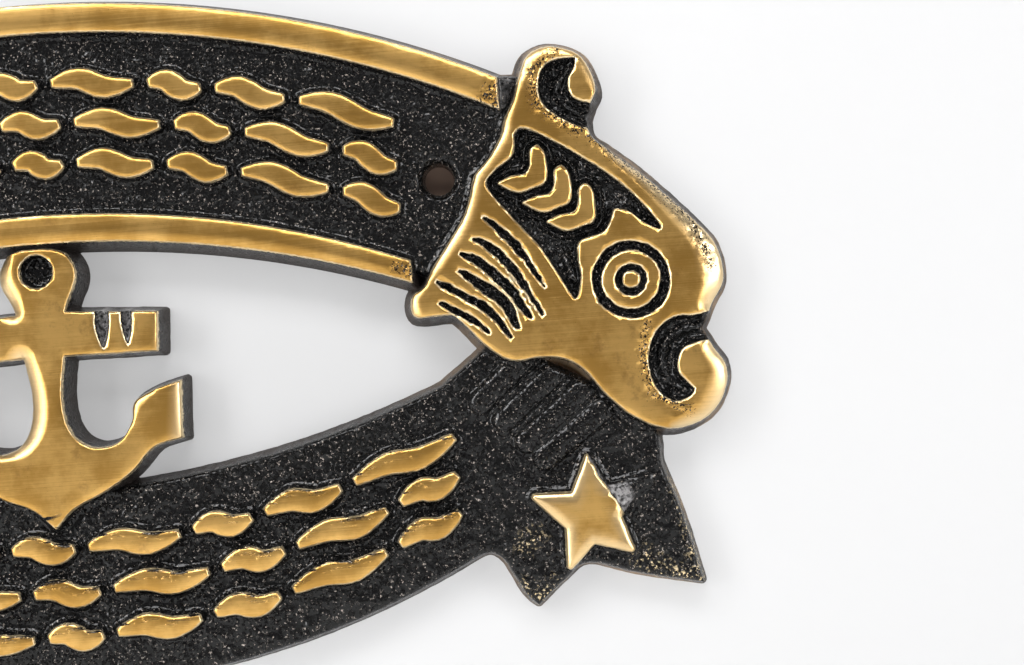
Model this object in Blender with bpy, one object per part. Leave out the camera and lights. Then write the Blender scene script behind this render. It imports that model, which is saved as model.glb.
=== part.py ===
"""Cast brass door sign in one piece: an arched upper band between two polished rails, an anchor in the
middle, a sea creature's head at each end and a lower ribbon with swallow tails and stars.

Metres, +Z up. The flat back lies in the plane y = 0 and the carved front faces -Y. The origin is on the
back, behind the crossing of the anchor's shank and stock, and the sign is symmetric about x = 0, but for
the rows of strokes.
"""

import math

import bmesh
import bpy
from mathutils import Vector

# Depths, each measured forward from the flat back
RELIEF_DEPTH = 0.0070
GROUND_DEPTH = 0.0046
FOLD_DEPTH = 0.0058
GROOVE_DEPTH = 0.0014
RING_HOLE_DEPTH = 0.0022
FOOT_DEPTH = 0.0010
CUTTER_CLEARANCE = 0.0005

# How far a wall leans out for each metre of its height
SIDE_LEAN = 0.21
ANCHOR_LEAN = 0.12
CARVED_LEAN = 0.18

# The anchor is drawn 47.1 units high, its ring's top 15.7 over the origin, and is cast just clear of the rail
ANCHOR_HEIGHT = 0.0471
ANCHOR_UNIT = ANCHOR_HEIGHT / 47.1
ANCHOR_TO_RAIL = 0.0008
CROWN_OVER_RIBBON = 0.0059
RING_HOLE_RADIUS = 0.0028

# Heights at x = 0. The band stands over the anchor and the ribbon hangs under it
TOP_RAIL_WIDTH = 0.0048
FIELD_HEIGHT = 0.0304
LOW_RAIL_WIDTH = 0.0047
RIBBON_HEIGHT = 0.0332
LOW_RAIL_FOOT = 15.7 * ANCHOR_UNIT + ANCHOR_TO_RAIL
LOW_RAIL_HEAD = LOW_RAIL_FOOT + LOW_RAIL_WIDTH
TOP_RAIL_FOOT = LOW_RAIL_HEAD + FIELD_HEIGHT
RIBBON_HEAD = CROWN_OVER_RIBBON - 31.4 * ANCHOR_UNIT

# An edge is its height at x = 0 and its radius; one that sags has a negative radius
TOP_RAIL_EDGES = ((TOP_RAIL_FOOT + TOP_RAIL_WIDTH, 0.1825), (TOP_RAIL_FOOT, 0.1770))
LOW_RAIL_EDGES = ((LOW_RAIL_HEAD, 0.1650), (LOW_RAIL_FOOT, 0.1780))
RIBBON_EDGES = ((RIBBON_HEAD, -0.1730), (RIBBON_HEAD - RIBBON_HEIGHT, -0.1510))

# The top rail's ends carry the heads, and the other long forms end short of them by these lengths
TOP_RAIL_HALF_LENGTH = 0.0792
LOW_RAIL_SHORTER = 0.0167
RIBBON_HEAD_SHORTER = 0.0132
RIBBON_FOOT_SHORTER = 0.0102
LOW_RAIL_HALF_LENGTH = TOP_RAIL_HALF_LENGTH - LOW_RAIL_SHORTER
RIBBON_HEAD_HALF_LENGTH = TOP_RAIL_HALF_LENGTH - RIBBON_HEAD_SHORTER
RIBBON_FOOT_HALF_LENGTH = TOP_RAIL_HALF_LENGTH - RIBBON_FOOT_SHORTER
RAIL_SEAT = 0.0016
FOLD_HALF_WIDTH = 0.0014

# Screw holes, each in the middle of the band's height
SCREW_TO_BAND_END = 0.0111
SCREW_X = TOP_RAIL_HALF_LENGTH - SCREW_TO_BAND_END
SCREW_RADIUS = 0.00265
COUNTERSINK_RADIUS = 0.00365
COUNTERSINK_DEPTH = 0.0010

# Rows of lying strokes in the two fields. Their lengths are shares of the row
STROKE_WIDTH = 0.0042
STROKE_GAP = 0.0022
STROKE_BEND = 0.0007
STROKE_COURSES = 3
STROKE_SHARES = (1.25, 0.80, 1.05, 1.40, 0.75, 1.15, 0.90, 1.30, 0.85)
UPPER_ROW_TO_SCREW = 0.0066
UPPER_ROW_MARGIN = 0.0085
LOWER_ROW_SHORTER = 0.0015
LOWER_ROW_MARGIN = 0.0092

# The head, the tail and the star are drawn on a grid of millimetres at their real height, and placed by one
# point of that grid
HEAD_HEIGHT = 0.0655
HEAD_UNIT = HEAD_HEIGHT / 65.5
HEAD_DRAWN_FROM = (79.2, 16.9)
TAIL_LENGTH = 0.0384
TAIL_UNIT = TAIL_LENGTH / 38.4
TAIL_DRAWN_FROM = (69.0, -42.0)
STAR_HEIGHT = 0.0187
STAR_UNIT = STAR_HEIGHT / 18.7
STAR_CENTRE = (89.3, -35.5)

ARC_STEPS = 20
CURVE_STEPS = 2
ROUND_SIDES = 24

# The head at the right-hand end: its outline, and what is sunk into it
HEAD_RUNS = [
    [
        (93.6, 30.4), (94.6, 33.0), (95.6, 35.2), (94.8, 38.5), (93.0, 41.3), (88.5, 42.9), (84.6, 41.8),
        (82.7, 38.0), (81.6, 34.5), (79.9, 31.5), (79.0, 28.6), (76.7, 24.9), (74.2, 22.4), (73.1, 19.0),
        (71.2, 14.6), (66.2, 7.8), (64.4, 4.4), (62.4, 3.2), (61.8, 1.0), (62.8, -0.8), (67.5, -0.8),
        (69.6, -1.5), (74.5, -7.0), (78.2, -9.2), (82.5, -9.0), (86.0, -9.3), (89.7, -11.4), (93.8, -16.7),
        (99.0, -21.0), (104.5, -22.6), (109.8, -21.2), (113.0, -17.6), (113.9, -13.0), (111.9, -9.4),
        (110.0, -6.3),
    ],
    [
        (110.0, -6.3), (112.2, -2.3), (114.5, 1.6), (114.2, 6.2), (112.0, 10.3), (103.3, 19.5), (97.5, 24.4),
        (94.2, 27.4), (93.6, 30.4),
    ],
]
TOP_SCROLL_RUNS = [
    [
        (92.6, 40.7), (89.1, 40.6), (86.6, 39.0), (85.8, 36.0), (86.4, 33.2), (89.2, 30.6), (93.0, 28.7),
        (98.0, 28.0),
    ],
    [(98.0, 28.0), (98.5, 30.0), (98.0, 32.0)],
    [(98.0, 32.0), (94.0, 33.0), (91.6, 34.1), (91.0, 36.5), (92.3, 39.0), (92.6, 40.7)],
]
LOW_SCROLL_RUNS = [
    [
        (116.0, -4.6), (112.1, -3.3), (109.0, -3.7), (105.5, -3.8), (102.0, -6.4), (100.6, -11.6),
        (101.9, -16.0), (104.6, -18.0), (107.3, -17.4), (108.2, -16.0),
    ],
    [
        (108.2, -16.0), (106.6, -14.3), (105.6, -12.6), (106.4, -9.6), (109.0, -8.5), (112.0, -8.2),
        (116.0, -8.0),
    ],
]
CHEVRON_FIELD_RUNS = [
    [
        (81.2, 28.6), (83.0, 29.6), (88.8, 26.4), (95.2, 21.9), (100.2, 17.4), (104.0, 12.6), (104.5, 10.8),
        (101.9, 12.0), (99.3, 14.2), (97.1, 14.8),
    ],
    [
        (97.1, 14.8), (95.2, 11.2), (90.9, 9.8), (90.5, 6.8), (90.7, 3.6), (89.4, 0.3), (87.2, 3.8),
        (84.2, 9.3), (79.6, 15.0), (76.0, 20.2), (77.4, 22.7), (80.7, 25.1), (81.2, 28.6),
    ],
]
# One chevron, drawn from its elbow, and the places of the three elbows
CHEVRON_RUNS = [
    [(-0.9, 6.1), (0.1, 4.6), (0.1, 0.4), (-2.4, -0.7), (-4.8, -1.2), (-7.7, 0.4)],
    [(-7.7, 0.4), (-5.6, 1.2), (-3.2, 1.5), (-2.2, 3.0), (-2.0, 5.4), (-0.9, 6.1)],
]
CHEVRON_ELBOWS = [(85.9, 20.2), (89.7, 16.6), (93.5, 13.2)]
EYE_CENTRE = (98.9, 2.9)
EYE_RINGS = [(6.6, 4.8), (2.8, 1.35)]
# Width and centre line of each gill slash
SLASHES = [
    (1.2, [(66.5, 1.5), (69.7, -0.3), (72.4, -2.0), (75.0, -4.6)]),
    (1.3, [(66.4, 5.1), (70.3, 2.7), (75.0, -0.6), (78.2, -5.3)]),
    (1.9, [(70.2, 6.7), (73.7, 4.1), (77.6, 0.6), (79.4, -3.9)]),
    (1.7, [(70.6, 9.5), (74.3, 7.4), (78.6, 2.8), (81.9, -2.4)]),
    (1.5, [(72.8, 11.8), (75.9, 10.1), (79.7, 5.6), (83.9, -2.1)]),
    (1.2, [(74.8, 15.2), (77.3, 13.3), (81.1, 8.7), (84.5, 2.5)]),
]

# The anchor's right half, from the top of its ring down to the crown
ANCHOR_RUNS = [
    [(0.0, 15.7), (2.7, 15.6), (5.2, 14.6), (6.6, 12.0), (6.4, 9.6), (5.2, 7.1), (4.4, 5.0)],
    [(4.4, 5.0), (19.8, 3.9)],
    [(19.8, 3.9), (19.3, -2.9)],
    [(19.3, -2.9), (3.7, -2.6)],
    [
        (3.7, -2.6), (2.8, -8.4), (3.2, -13.4), (5.0, -16.7), (8.1, -18.1), (11.8, -17.2), (13.9, -14.0),
        (14.4, -11.1), (17.5, -9.3), (22.7, -7.8),
    ],
    [(22.7, -7.8), (22.2, -17.7)],
    [(22.2, -17.7), (17.4, -18.9), (13.4, -22.8), (8.0, -26.0), (3.4, -28.1), (0.0, -31.4)],
]
RING_HOLE_CENTRE = (0.0, 11.9)
STOCK_NOTCHES = [
    [(9.1, 6.0), (11.6, 6.0), (11.5, 2.6), (10.2, -1.8), (9.3, 1.4)],
    [(13.3, 6.0), (15.5, 6.0), (15.3, 2.2), (14.3, -1.4), (13.6, 1.4)],
]

# The ribbon's right-hand tail, from its long lower edge round to under the head, with its folds and star
TAIL_RUNS = [
    [(69.0, -42.0), (71.7, -41.1), (74.0, -42.3), (75.7, -45.2), (77.5, -48.7), (79.4, -50.5)],
    [(79.4, -50.5), (84.0, -46.6), (88.4, -44.0), (96.5, -46.4), (107.4, -48.8)],
    [(107.4, -48.8), (104.8, -37.6), (101.8, -28.4)],
    [(101.8, -28.4), (99.0, -19.0), (76.0, -5.0)],
]
FOLDS = [
    [(72.2, -15.8), (80.0, -9.0)],
    [(76.0, -19.0), (86.2, -10.8)],
    [(79.5, -22.8), (90.0, -14.5)],
    [(82.2, -26.0), (92.5, -18.5)],
]
STAR_CORNERS = [
    (0.1, 9.7), (3.0, 4.0), (9.8, 5.1), (4.6, -0.9), (6.5, -6.8), (0.0, -4.8), (-4.4, -9.0), (-4.2, -2.1),
    (-9.7, 3.5), (-2.9, 3.3),
]


def edge_height(edge, x):
    """Height of a long edge at x, measured from the origin."""
    height, radius = edge
    drop = abs(radius) - math.sqrt(radius * radius - x * x)
    return height - math.copysign(drop, radius)


def edge_points(edge, start, end, steps=ARC_STEPS):
    spots = [start + (end - start) * step / steps for step in range(steps + 1)]
    return [(x, edge_height(edge, x)) for x in spots]


def band_middle(x):
    """Height of the middle of the sunk field between the rails."""
    return (edge_height(TOP_RAIL_EDGES[1], x) + edge_height(LOW_RAIL_EDGES[0], x)) / 2


def smooth(points, steps=CURVE_STEPS):
    """A smooth open run through the points, with both ends kept."""
    padded = [points[0], *points, points[-1]]
    run = []
    for before, start, end, after in zip(padded, padded[1:], padded[2:], padded[3:]):
        for step in range(steps):
            t = step / steps
            run.append(tuple(
                0.5 * (2 * b + (c - a) * t + (2 * a - 5 * b + 4 * c - d) * t * t
                       + (3 * b - a - 3 * c + d) * t ** 3)
                for a, b, c, d in zip(before, start, end, after)
            ))
    return run + [points[-1]]


def joined(runs):
    """One open line from smooth runs that meet at corners."""
    points = smooth(runs[0])
    for run in runs[1:]:
        points.extend(smooth(run)[1:])
    return points


def closed(runs):
    return joined(runs)[:-1]


def placed(points, unit, drawn_from, place):
    """Points of a drawing, with one point of the drawing put at a place of the sign."""
    return [
        (place[0] + (x - drawn_from[0]) * unit, place[1] + (z - drawn_from[1]) * unit)
        for x, z in points
    ]


def on_head(points):
    seat = (TOP_RAIL_HALF_LENGTH, band_middle(TOP_RAIL_HALF_LENGTH))
    return placed(points, HEAD_UNIT, HEAD_DRAWN_FROM, seat)


def on_tail(points):
    seat = (RIBBON_FOOT_HALF_LENGTH, edge_height(RIBBON_EDGES[1], RIBBON_FOOT_HALF_LENGTH))
    return placed(points, TAIL_UNIT, TAIL_DRAWN_FROM, seat)


def on_anchor(points):
    return placed(points, ANCHOR_UNIT, (0.0, 0.0), (0.0, 0.0))


def mirrored(points):
    """The same outline on the other side of x = 0, run the same way round."""
    return [(-x, z) for x, z in reversed(points)]


def circle(centre, radius, sides=ROUND_SIDES):
    angles = [2 * math.pi * side / sides for side in range(sides)]
    return [(centre[0] + radius * math.cos(a), centre[1] + radius * math.sin(a)) for a in angles]


def round_bar(start, end, radius, sides=4):
    """A straight bar with two round ends."""
    heading = math.atan2(end[1] - start[1], end[0] - start[0])
    points = []
    for centre, first in ((end, heading - math.pi / 2), (start, heading + math.pi / 2)):
        for side in range(sides + 1):
            angle = first + math.pi * side / sides
            points.append((centre[0] + radius * math.cos(angle), centre[1] + radius * math.sin(angle)))
    return points


def spindle(centre_line, width):
    """A stroke that swells to its width in the middle and tapers to both ends."""
    line = smooth(centre_line)
    near, far = [], []
    for index, (x, z) in enumerate(line):
        before = line[max(index - 1, 0)]
        after = line[min(index + 1, len(line) - 1)]
        length = math.dist(before, after)
        half = 0.5 * width * (0.35 + 0.65 * math.sin(math.pi * index / (len(line) - 1)))
        side = ((after[1] - before[1]) / length * half, -(after[0] - before[0]) / length * half)
        near.append((x + side[0], z + side[1]))
        far.append((x - side[0], z - side[1]))
    return near + far[::-1]


def new_collection(name):
    collection = bpy.data.collections.new(name)
    bpy.context.scene.collection.children.link(collection)
    return collection


def clear_scene():
    for obj in list(bpy.data.objects):
        bpy.data.objects.remove(obj)


def extruded_curve(name, outlines, back, front):
    """Flat outlines in the drawing plane, an inner one being an island, extruded between two depths."""
    curve = bpy.data.curves.new(name, "CURVE")
    curve.dimensions = "2D"
    curve.fill_mode = "BOTH"
    curve.extrude = (front - back) / 2
    for points in outlines:
        spline = curve.splines.new("POLY")
        spline.points.add(len(points) - 1)
        for place, (x, z) in zip(spline.points, points):
            place.co = (x, z, 0.0, 1.0)
        spline.use_cyclic_u = True
    obj = bpy.data.objects.new(name, curve)
    obj.location.y = -(front + back) / 2
    obj.rotation_euler.x = math.pi / 2
    bpy.context.scene.collection.objects.link(obj)
    return obj


def spread_back(mesh, distance):
    """Moves every wall's back edge outward, so that the walls lean."""
    moves = {}
    for vert in mesh.verts:
        if vert.co.z > 0:
            continue
        walls = [face.normal for face in vert.link_faces if abs(face.normal.z) < 0.5]
        first = walls[0]
        last = min(walls, key=first.dot)
        moves[vert] = (first + last) / (1 + first.dot(last)) * distance
    for vert, move in moves.items():
        vert.co += Vector((move.x, move.y, 0.0))


def plate(name, outlines, back, front, lean, collection):
    """A closed solid with the outlines at its front and walls that lean out towards its back."""
    curve_object = extruded_curve(name, outlines, back, front)
    graph = bpy.context.evaluated_depsgraph_get()
    solid = bpy.data.meshes.new_from_object(curve_object.evaluated_get(graph))
    place = curve_object.matrix_world.copy()
    bpy.data.objects.remove(curve_object)
    work = bmesh.new()
    work.from_mesh(solid)
    bmesh.ops.remove_doubles(work, verts=work.verts, dist=1e-6)
    bmesh.ops.recalc_face_normals(work, faces=work.faces)
    if lean:
        spread_back(work, lean * (front - back))
    work.to_mesh(solid)
    work.free()
    obj = bpy.data.objects.new(name, solid)
    obj.matrix_world = place
    collection.objects.link(obj)
    return obj


def both_sides(name, outlines, back, front, lean, collection):
    plate(name + "_right", outlines, back, front, lean, collection)
    plate(name + "_left", [mirrored(points) for points in outlines], back, front, lean, collection)


def rail(name, edges, half_length, collection):
    points = edge_points(edges[0], half_length, -half_length)
    points += edge_points(edges[1], -half_length, half_length)
    plate(name, [points], 0.0, RELIEF_DEPTH, SIDE_LEAN, collection)


def band_ground(name):
    """The sunk field between the two rails, which runs in under the rails and the heads."""
    reach = TOP_RAIL_HALF_LENGTH
    top_height, top_radius = TOP_RAIL_EDGES[1]
    low_height, low_radius = LOW_RAIL_EDGES[0]
    points = edge_points((top_height + RAIL_SEAT, top_radius), reach, -reach)
    points += edge_points((low_height - RAIL_SEAT, low_radius), -reach, reach)
    return plate(name, [points], 0.0, GROUND_DEPTH, 0.0, new_collection("brass_door_sign"))


def ribbon(collection):
    tail = on_tail(joined(TAIL_RUNS))
    points = tail + edge_points(RIBBON_EDGES[0], RIBBON_HEAD_HALF_LENGTH, -RIBBON_HEAD_HALF_LENGTH)
    points += mirrored(tail)
    points += edge_points(RIBBON_EDGES[1], -RIBBON_FOOT_HALF_LENGTH, RIBBON_FOOT_HALF_LENGTH)[1:-1]
    plate("ribbon", [points], 0.0, GROUND_DEPTH, SIDE_LEAN, collection)
    for number, ends in enumerate(FOLDS):
        fold = round_bar(*on_tail(ends), FOLD_HALF_WIDTH)
        both_sides(f"fold_{number}", [fold], FOOT_DEPTH, FOLD_DEPTH, CARVED_LEAN, collection)
    star = placed(STAR_CORNERS, STAR_UNIT, (0.0, 0.0), on_tail([STAR_CENTRE])[0])
    both_sides("star", [star], FOOT_DEPTH, RELIEF_DEPTH, CARVED_LEAN, collection)


def anchor(collection):
    right = on_anchor(joined(ANCHOR_RUNS))
    points = right + mirrored(right)[1:-1]
    plate("anchor", [points], 0.0, RELIEF_DEPTH, ANCHOR_LEAN, collection)


def stroke_row(name, top_edge, low_edge, margin, half_length, collection):
    """Courses of lying strokes of unlike lengths, which bend like small waves and form no letters."""
    for course in range(STROKE_COURSES):
        share_up = course / (STROKE_COURSES - 1)
        shares = STROKE_SHARES[2 * course:] + STROKE_SHARES[:2 * course]
        unit = (2 * half_length - STROKE_GAP * (len(shares) - 1)) / sum(shares)
        start = -half_length
        for number, share in enumerate(shares):
            line = []
            for step, bend in enumerate((0.0, STROKE_BEND, -STROKE_BEND, 0.0)):
                x = start + share * unit * step / 3
                low = edge_height(low_edge, x) + margin
                top = edge_height(top_edge, x) - margin
                line.append((x, low + (top - low) * share_up + bend))
            plate(f"{name}_{course}_{number}", [spindle(line, STROKE_WIDTH)], FOOT_DEPTH, RELIEF_DEPTH,
                  CARVED_LEAN, collection)
            start += share * unit + STROKE_GAP


def raised_forms(collection):
    rail("top_rail", TOP_RAIL_EDGES, TOP_RAIL_HALF_LENGTH, collection)
    rail("low_rail", LOW_RAIL_EDGES, LOW_RAIL_HALF_LENGTH, collection)
    ribbon(collection)
    anchor(collection)
    both_sides("head", [on_head(closed(HEAD_RUNS))], 0.0, RELIEF_DEPTH, SIDE_LEAN, collection)
    stroke_row("upper_stroke", TOP_RAIL_EDGES[1], LOW_RAIL_EDGES[0], UPPER_ROW_MARGIN,
               SCREW_X - UPPER_ROW_TO_SCREW, collection)
    stroke_row("lower_stroke", *RIBBON_EDGES, LOWER_ROW_MARGIN,
               RIBBON_FOOT_HALF_LENGTH - LOWER_ROW_SHORTER, collection)


def recesses(collection):
    """Cutters for what is sunk into the heads and the anchor, and for the screw holes."""
    past = RELIEF_DEPTH + CUTTER_CLEARANCE
    groove_floor = RELIEF_DEPTH - GROOVE_DEPTH
    both_sides("top_scroll", [on_head(closed(TOP_SCROLL_RUNS))], GROUND_DEPTH, past, 0.0, collection)
    both_sides("low_scroll", [on_head(closed(LOW_SCROLL_RUNS))], GROUND_DEPTH, past, 0.0, collection)
    field = [on_head(closed(CHEVRON_FIELD_RUNS))]
    for elbow in CHEVRON_ELBOWS:
        field.append(on_head(placed(closed(CHEVRON_RUNS), 1.0, (0.0, 0.0), elbow)))
    both_sides("chevron_field", field, GROUND_DEPTH, past, 0.0, collection)
    eye = on_head([EYE_CENTRE])[0]
    for number, radii in enumerate(EYE_RINGS):
        ring = [circle(eye, radius * HEAD_UNIT) for radius in radii]
        both_sides(f"eye_ring_{number}", ring, groove_floor, past, 0.0, collection)
    for number, (width, centre_line) in enumerate(SLASHES):
        slash = spindle(on_head(centre_line), width * HEAD_UNIT)
        both_sides(f"slash_{number}", [slash], groove_floor, past, 0.0, collection)
    for number, points in enumerate(STOCK_NOTCHES):
        both_sides(f"stock_notch_{number}", [on_anchor(points)], groove_floor, past, 0.0, collection)
    ring_hole = circle(on_anchor([RING_HOLE_CENTRE])[0], RING_HOLE_RADIUS)
    plate("ring_hole", [ring_hole], RELIEF_DEPTH - RING_HOLE_DEPTH, past, 0.0, collection)
    screw_place = (SCREW_X, band_middle(SCREW_X))
    both_sides("screw_hole", [circle(screw_place, SCREW_RADIUS)], -CUTTER_CLEARANCE, past, 0.0, collection)
    slope = (COUNTERSINK_RADIUS - SCREW_RADIUS) / COUNTERSINK_DEPTH
    rim = circle(screw_place, COUNTERSINK_RADIUS + slope * CUTTER_CLEARANCE)
    both_sides("countersink", [rim], GROUND_DEPTH - COUNTERSINK_DEPTH, GROUND_DEPTH + CUTTER_CLEARANCE,
               -slope, collection)


def helpers_made_by(fill):
    """A collection of what one function makes, all of it hidden from renders."""
    helpers = new_collection(fill.__name__)
    fill(helpers)
    for helper in helpers.objects:
        helper.hide_render = True
        helper.display_type = "WIRE"
    return helpers


def carve(sign, helpers, operation):
    """Joins to the sign, or cuts from it, everything in a collection."""
    boolean = sign.modifiers.new(helpers.name, "BOOLEAN")
    boolean.operand_type = "COLLECTION"
    boolean.collection = helpers
    boolean.operation = operation
    boolean.solver = "EXACT"


def antique_brass():
    material = bpy.data.materials.new("antique_brass")
    material.use_nodes = True
    shader = material.node_tree.nodes["Principled BSDF"]
    shader.inputs["Base Color"].default_value = (0.48, 0.28, 0.08, 1.0)
    shader.inputs["Metallic"].default_value = 1.0
    shader.inputs["Roughness"].default_value = 0.35
    return material


def main():
    clear_scene()
    sign = band_ground("sign_casting")
    sign.data.materials.append(antique_brass())
    raised = helpers_made_by(raised_forms)
    cutters = helpers_made_by(recesses)
    carve(sign, raised, "UNION")
    carve(sign, cutters, "DIFFERENCE")


main()
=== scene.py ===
"""The looks of the cast brass door sign: its fine relief in one mesh, its brass and black patina, and a pale
studio round it.

Outlines and heights are in millimetres until the mesh is made. The sign's flat back is the plane y = 0, the
carved front faces -Y, and a height is measured forward from the back.
"""

import math

import bmesh
import bpy
import numpy as np
from mathutils import Matrix, Vector

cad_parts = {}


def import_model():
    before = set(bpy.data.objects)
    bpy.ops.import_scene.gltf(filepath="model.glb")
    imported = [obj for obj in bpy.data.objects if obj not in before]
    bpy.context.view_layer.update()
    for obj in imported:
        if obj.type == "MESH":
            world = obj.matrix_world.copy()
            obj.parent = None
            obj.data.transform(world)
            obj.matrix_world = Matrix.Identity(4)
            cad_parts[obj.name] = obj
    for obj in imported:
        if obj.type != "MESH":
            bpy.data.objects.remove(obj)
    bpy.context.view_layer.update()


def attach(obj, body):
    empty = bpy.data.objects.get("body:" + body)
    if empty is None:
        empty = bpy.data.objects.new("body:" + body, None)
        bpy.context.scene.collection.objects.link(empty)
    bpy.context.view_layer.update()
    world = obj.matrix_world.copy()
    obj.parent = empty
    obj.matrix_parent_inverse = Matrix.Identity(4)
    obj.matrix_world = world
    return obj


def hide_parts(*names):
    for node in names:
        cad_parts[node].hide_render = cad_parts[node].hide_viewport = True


MILLIMETRE = 0.001
# The height field's step, the finished mesh's size, and how far from an outline its distance is worked out
CELL = 0.20
TRIANGLES = 188000
REACH = 9.0
SEED = 41

# Heights over the back
RELIEF = 7.0
GROUND = 4.6
FOLD = 5.8
GROOVE_FLOOR = 5.5
RING_HOLE_FLOOR = 4.8

SIDE_LEAN = 0.21
ANCHOR_LEAN = 0.12
HOLE_LEAN = 0.06

# An edge is its height at x = 0 and its radius; one that sags has a negative radius
TOP_RAIL_EDGES = ((56.4, 182.5), (51.6, 177.0))
TOP_RAIL_HALF_LENGTH = 79.2
LOW_RAIL_EDGES = ((21.2, 165.0), (16.5, 178.0))
LOW_RAIL_HALF_LENGTH = 62.5
RIBBON_EDGES = ((-25.5, -173.0), (-58.7, -151.0))
RIBBON_HEAD_HALF_LENGTH = 66.0
RIBBON_FOOT_HALF_LENGTH = 69.0
FOLD_REACH = 2.1

STROKE_WIDTH = 4.2
STROKE_GAP = 2.2
STROKE_BEND = 0.7
STROKE_COURSES = 3
STROKE_SHARES = (1.25, 0.80, 1.05, 1.40, 0.75, 1.15, 0.90, 1.30, 0.85)
UPPER_ROW_HALF_LENGTH = 61.5
UPPER_ROW_MARGIN = 8.5
LOWER_ROW_HALF_LENGTH = 67.5
LOWER_ROW_MARGIN = 9.2

SCREW_X = 68.1
SCREW_RADIUS = 2.65
COUNTERSINK_RADIUS = 3.65
COUNTERSINK_DEPTH = 1.0

HEAD_RUNS = [
    [
        (93.6, 30.4), (94.6, 33.0), (95.6, 35.2), (94.8, 38.5), (93.0, 41.3), (88.5, 42.9), (84.6, 41.8),
        (82.7, 38.0), (81.6, 34.5), (79.9, 31.5), (79.0, 28.6), (76.7, 24.9), (74.2, 22.4), (73.1, 19.0),
        (71.2, 14.6), (66.2, 7.8), (64.4, 4.4), (62.4, 3.2), (61.8, 1.0), (62.8, -0.8), (67.5, -0.8),
        (69.6, -1.5), (74.5, -7.0), (78.2, -9.2), (82.5, -9.0), (86.0, -9.3), (89.7, -11.4), (93.8, -16.7),
        (99.0, -21.0), (104.5, -22.6), (109.8, -21.2), (113.0, -17.6), (113.9, -13.0), (111.9, -9.4),
        (110.0, -6.3),
    ],
    [
        (110.0, -6.3), (112.2, -2.3), (114.5, 1.6), (114.2, 6.2), (112.0, 10.3), (103.3, 19.5), (97.5, 24.4),
        (94.2, 27.4), (93.6, 30.4),
    ],
]
TOP_SCROLL_RUNS = [
    [
        (92.6, 40.7), (89.1, 40.6), (86.6, 39.0), (85.8, 36.0), (86.4, 33.2), (89.2, 30.6), (93.0, 28.7),
        (98.0, 28.0),
    ],
    [(98.0, 28.0), (98.5, 30.0), (98.0, 32.0)],
    [(98.0, 32.0), (94.0, 33.0), (91.6, 34.1), (91.0, 36.5), (92.3, 39.0), (92.6, 40.7)],
]
LOW_SCROLL_RUNS = [
    [
        (116.0, -4.6), (112.1, -3.3), (109.0, -3.7), (105.5, -3.8), (102.0, -6.4), (100.6, -11.6),
        (101.9, -16.0), (104.6, -18.0), (107.3, -17.4), (108.2, -16.0),
    ],
    [
        (108.2, -16.0), (106.6, -14.3), (105.6, -12.6), (106.4, -9.6), (109.0, -8.5), (112.0, -8.2),
        (116.0, -8.0),
    ],
]
CHEVRON_FIELD_RUNS = [
    [
        (81.2, 28.6), (83.0, 29.6), (88.8, 26.4), (95.2, 21.9), (100.2, 17.4), (104.0, 12.6), (104.5, 10.8),
        (101.9, 12.0), (99.3, 14.2), (97.1, 14.8),
    ],
    [
        (97.1, 14.8), (95.2, 11.2), (90.9, 9.8), (90.5, 6.8), (90.7, 3.6), (89.4, 0.3), (87.2, 3.8),
        (84.2, 9.3), (79.6, 15.0), (76.0, 20.2), (77.4, 22.7), (80.7, 25.1), (81.2, 28.6),
    ],
]
CHEVRON_RUNS = [
    [(-0.9, 6.1), (0.1, 4.6), (0.1, 0.4), (-2.4, -0.7), (-4.8, -1.2), (-7.7, 0.4)],
    [(-7.7, 0.4), (-5.6, 1.2), (-3.2, 1.5), (-2.2, 3.0), (-2.0, 5.4), (-0.9, 6.1)],
]
CHEVRON_ELBOWS = [(85.9, 20.2), (89.7, 16.6), (93.5, 13.2)]
EYE_CENTRE = (98.9, 2.9)
EYE_RINGS = [(6.6, 4.8), (2.8, 1.35)]
SLASHES = [
    (1.2, [(66.5, 1.5), (69.7, -0.3), (72.4, -2.0), (75.0, -4.6)]),
    (1.3, [(66.4, 5.1), (70.3, 2.7), (75.0, -0.6), (78.2, -5.3)]),
    (1.9, [(70.2, 6.7), (73.7, 4.1), (77.6, 0.6), (79.4, -3.9)]),
    (1.7, [(70.6, 9.5), (74.3, 7.4), (78.6, 2.8), (81.9, -2.4)]),
    (1.5, [(72.8, 11.8), (75.9, 10.1), (79.7, 5.6), (83.9, -2.1)]),
    (1.2, [(74.8, 15.2), (77.3, 13.3), (81.1, 8.7), (84.5, 2.5)]),
]
ANCHOR_RUNS = [
    [(0.0, 15.7), (2.7, 15.6), (5.2, 14.6), (6.6, 12.0), (6.4, 9.6), (5.2, 7.1), (4.4, 5.0)],
    [(4.4, 5.0), (19.8, 3.9)],
    [(19.8, 3.9), (19.3, -2.9)],
    [(19.3, -2.9), (3.7, -2.6)],
    [
        (3.7, -2.6), (2.8, -8.4), (3.2, -13.4), (5.0, -16.7), (8.1, -18.1), (11.8, -17.2), (13.9, -14.0),
        (14.4, -11.1), (17.5, -9.3), (22.7, -7.8),
    ],
    [(22.7, -7.8), (22.2, -17.7)],
    [(22.2, -17.7), (17.4, -18.9), (13.4, -22.8), (8.0, -26.0), (3.4, -28.1), (0.0, -31.4)],
]
RING_HOLE_CENTRE = (0.0, 11.9)
RING_HOLE_RADIUS = 2.8
STOCK_NOTCHES = [
    [(9.6, 6.0), (11.3, 6.0), (11.7, 3.4), (11.4, 0.8), (10.3, -1.9), (9.2, 0.8), (9.0, 3.2)],
    [(13.7, 6.0), (15.2, 6.0), (15.5, 3.0), (15.2, 0.6), (14.4, -1.5), (13.6, 0.6), (13.3, 3.0)],
]
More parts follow.
